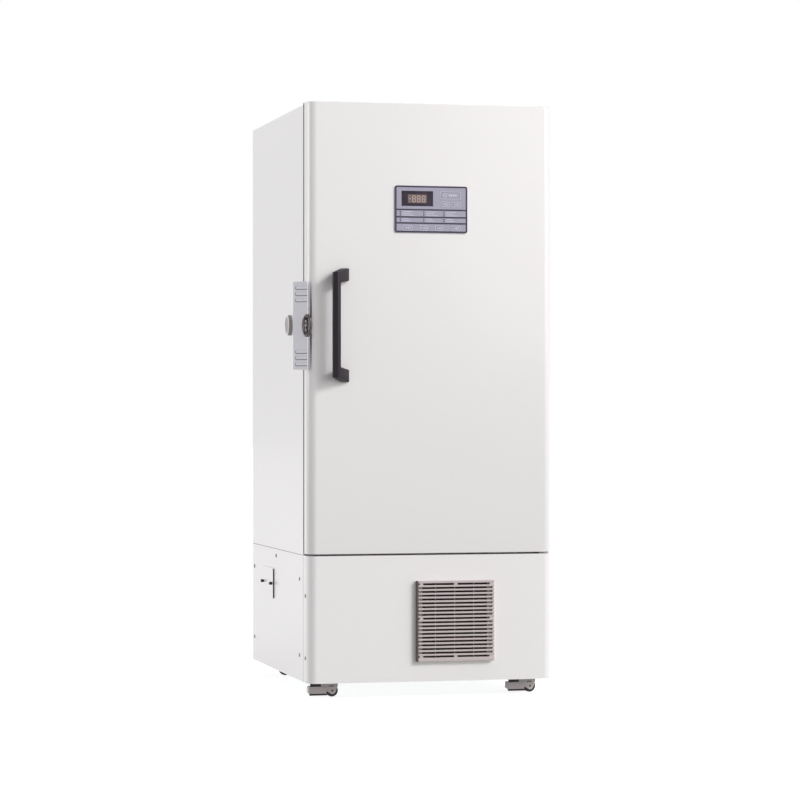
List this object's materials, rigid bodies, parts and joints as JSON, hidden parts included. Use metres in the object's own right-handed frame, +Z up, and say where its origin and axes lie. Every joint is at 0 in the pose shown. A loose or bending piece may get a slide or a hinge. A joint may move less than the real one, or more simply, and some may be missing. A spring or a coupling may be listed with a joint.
{
  "type": "ultra low temperature freezer",
  "caption": "Upright cold storage cabinet with an insulated swing door, side latch, inner doors, shelves, control panel, air grille and casters.",
  "frame": {"origin": "on the floor under the middle of the cabinet's footprint, door front to back", "axes": "+Z up, -Y out of the door, +X to the right of someone facing the door"},
  "size_m": [0.8559, 1.0112, 1.9215],
  "materials": {
    "white_enamel": "gloss",
    "white_plastic": "satin",
    "insulation_foam": "matte",
    "stainless_steel": "brushed",
    "copper_tube": "satin",
    "galvanised_steel": "matte",
    "grey_plastic": "satin",
    "black_enamel": "satin",
    "fin_aluminium": "matte",
    "black_plastic": "satin",
    "seal_rubber": "matte",
    "nylon": "matte",
    "lavender_overlay": "satin",
    "smoked_window": "gloss",
    "latch_grey": "satin",
    "dark_chrome": "polished",
    "caster_grey": "satin",
    "wheel_rubber": "matte"
  },
  "bodies": {
    "cabinet": {"cabinet_wrap": "white_enamel", "rear_panel": "white_enamel", "front_frame": "white_enamel", "breaker_frame": "white_plastic", "insulation_panels": "insulation_foam", "chamber_liner": "stainless_steel", "evaporator_coil": "copper_tube", "shelf_supports": "stainless_steel", "shelves": "stainless_steel", "vent_port": "white_plastic", "latch_strike": "stainless_steel", "door_hinges": "white_enamel", "base_frame": "galvanised_steel", "lower_front_panel": "white_enamel", "front_grille": "grey_plastic", "condenser_filter": "grey_plastic", "machine_panel_left": "white_enamel", "machine_panel_right": "white_enamel", "machine_panel_rear": "white_enamel", "side_hatch": "white_enamel", "hatch_knobs": "black_plastic", "panel_screws": "stainless_steel", "compressors": "black_enamel", "condenser": "fin_aluminium", "fan_motor": "black_enamel", "cascade_exchanger": "stainless_steel", "control_box": "galvanised_steel", "mains_inlet": "black_plastic"},
    "door": {"door_skin": "white_enamel", "door_insulation": "insulation_foam", "door_liner": "white_plastic", "door_gasket": "seal_rubber", "hinge_bushes": "nylon", "pull_handle": "black_plastic", "control_bezel": "lavender_overlay", "display_window": "smoked_window", "latch_base": "black_enamel"},
    "inner_door_lower": {"inner_door_lower": "white_plastic"},
    "inner_door_upper": {"inner_door_upper": "white_plastic"},
    "latch_lever": {"latch_lever": "latch_grey", "latch_claw": "latch_grey"},
    "lock_knob": {"lock_knob": "dark_chrome"},
    "fan": {"fan_blades": "black_plastic"},
    "key_alarm": {"key_alarm": "lavender_overlay"},
    "key_upper_left": {"key_upper_left": "lavender_overlay"},
    "key_upper_right": {"key_upper_right": "lavender_overlay"},
    "key_lower_1": {"key_lower_1": "lavender_overlay"},
    "key_lower_2": {"key_lower_2": "lavender_overlay"},
    "key_lower_3": {"key_lower_3": "lavender_overlay"},
    "key_lower_4": {"key_lower_4": "lavender_overlay"},
    "caster_fork_front_left": {"caster_fork_front_left": "caster_grey"},
    "caster_wheel_front_left": {"caster_wheel_front_left": "wheel_rubber"},
    "caster_brake_front_left": {"caster_brake_front_left": "caster_grey"},
    "caster_fork_front_right": {"caster_fork_front_right": "caster_grey"},
    "caster_wheel_front_right": {"caster_wheel_front_right": "wheel_rubber"},
    "caster_brake_front_right": {"caster_brake_front_right": "caster_grey"},
    "caster_fork_rear_left": {"caster_fork_rear_left": "caster_grey"},
    "caster_wheel_rear_left": {"caster_wheel_rear_left": "wheel_rubber"},
    "caster_fork_rear_right": {"caster_fork_rear_right": "caster_grey"},
    "caster_wheel_rear_right": {"caster_wheel_rear_right": "wheel_rubber"}
  },
  "joints": [
    {"name": "door_hinge", "type": "hinge", "parent": "cabinet", "child": "door", "pos_m": [0.392, -0.425, 0.466], "axis": [0, 0, 1], "range_deg": [0, 110]},
    {"name": "inner_door_lower_hinge", "type": "hinge", "parent": "cabinet", "child": "inner_door_lower", "pos_m": [0.275, -0.322, 0.6], "axis": [0, 0, 1], "range_deg": [0, 90]},
    {"name": "inner_door_upper_hinge", "type": "hinge", "parent": "cabinet", "child": "inner_door_upper", "pos_m": [0.275, -0.322, 1.2], "axis": [0, 0, 1], "range_deg": [0, 90]},
    {"name": "latch_lever_pivot", "type": "hinge", "parent": "door", "child": "latch_lever", "pos_m": [-0.41558, -0.45757, 1.198], "axis": [0, 0, 1], "range_deg": [-40, 0]},
    {"name": "lock_knob_turn", "type": "hinge", "parent": "latch_lever", "child": "lock_knob", "pos_m": [-0.41, -0.479, 1.198], "axis": [-0.766, -0.6428, 0], "range_deg": [0, 90]},
    {"name": "fan_spin", "type": "hinge", "parent": "cabinet", "child": "fan", "pos_m": [0.0765, -0.298, 0.228], "axis": [0, 1, 0], "continuous": true},
    {"name": "key_alarm_press", "type": "slide", "parent": "door", "child": "key_alarm", "axis": [0, 1, 0], "range_m": [0, 0.0008], "stiffness_N_per_m": 800},
    {"name": "key_upper_left_press", "type": "slide", "parent": "door", "child": "key_upper_left", "axis": [0, 1, 0], "range_m": [0, 0.0008], "stiffness_N_per_m": 800},
    {"name": "key_upper_right_press", "type": "slide", "parent": "door", "child": "key_upper_right", "axis": [0, 1, 0], "range_m": [0, 0.0008], "stiffness_N_per_m": 800},
    {"name": "key_lower_1_press", "type": "slide", "parent": "door", "child": "key_lower_1", "axis": [0, 1, 0], "range_m": [0, 0.0008], "stiffness_N_per_m": 800},
    {"name": "key_lower_2_press", "type": "slide", "parent": "door", "child": "key_lower_2", "axis": [0, 1, 0], "range_m": [0, 0.0008], "stiffness_N_per_m": 800},
    {"name": "key_lower_3_press", "type": "slide", "parent": "door", "child": "key_lower_3", "axis": [0, 1, 0], "range_m": [0, 0.0008], "stiffness_N_per_m": 800},
    {"name": "key_lower_4_press", "type": "slide", "parent": "door", "child": "key_lower_4", "axis": [0, 1, 0], "range_m": [0, 0.0008], "stiffness_N_per_m": 800},
    {"name": "caster_swivel_front_left", "type": "hinge", "parent": "cabinet", "child": "caster_fork_front_left", "pos_m": [-0.333, -0.363, 0.071], "axis": [0, 0, 1], "continuous": true},
    {"name": "caster_roll_front_left", "type": "hinge", "parent": "caster_fork_front_left", "child": "caster_wheel_front_left", "pos_m": [-0.307, -0.363, 0.02], "axis": [0, 1, 0], "continuous": true},
    {"name": "caster_pedal_front_left", "type": "hinge", "parent": "caster_fork_front_left", "child": "caster_brake_front_left", "pos_m": [-0.36, -0.363, 0.04], "axis": [0, -1, 0], "range_deg": [0, 12]},
    {"name": "caster_swivel_front_right", "type": "hinge", "parent": "cabinet", "child": "caster_fork_front_right", "pos_m": [0.333, -0.363, 0.071], "axis": [0, 0, 1], "continuous": true},
    {"name": "caster_roll_front_right", "type": "hinge", "parent": "caster_fork_front_right", "child": "caster_wheel_front_right", "pos_m": [0.359, -0.363, 0.02], "axis": [0, 1, 0], "continuous": true},
    {"name": "caster_pedal_front_right", "type": "hinge", "parent": "caster_fork_front_right", "child": "caster_brake_front_right", "pos_m": [0.306, -0.363, 0.04], "axis": [0, -1, 0], "range_deg": [0, 12]},
    {"name": "caster_swivel_rear_left", "type": "hinge", "parent": "cabinet", "child": "caster_fork_rear_left", "pos_m": [-0.333, 0.4, 0.071], "axis": [0, 0, 1], "continuous": true},
    {"name": "caster_roll_rear_left", "type": "hinge", "parent": "caster_fork_rear_left", "child": "caster_wheel_rear_left", "pos_m": [-0.307, 0.4, 0.02], "axis": [0, 1, 0], "continuous": true},
    {"name": "caster_swivel_rear_right", "type": "hinge", "parent": "cabinet", "child": "caster_fork_rear_right", "pos_m": [0.333, 0.4, 0.071], "axis": [0, 0, 1], "continuous": true},
    {"name": "caster_roll_rear_right", "type": "hinge", "parent": "caster_fork_rear_right", "child": "caster_wheel_rear_right", "pos_m": [0.359, 0.4, 0.02], "axis": [0, 1, 0], "continuous": true}
  ],
  "couplings": [
    {"joint": "inner_door_lower_hinge", "follows": "door_hinge", "ratio": 0.81818},
    {"joint": "inner_door_upper_hinge", "follows": "door_hinge", "ratio": 0.81818}
  ]
}
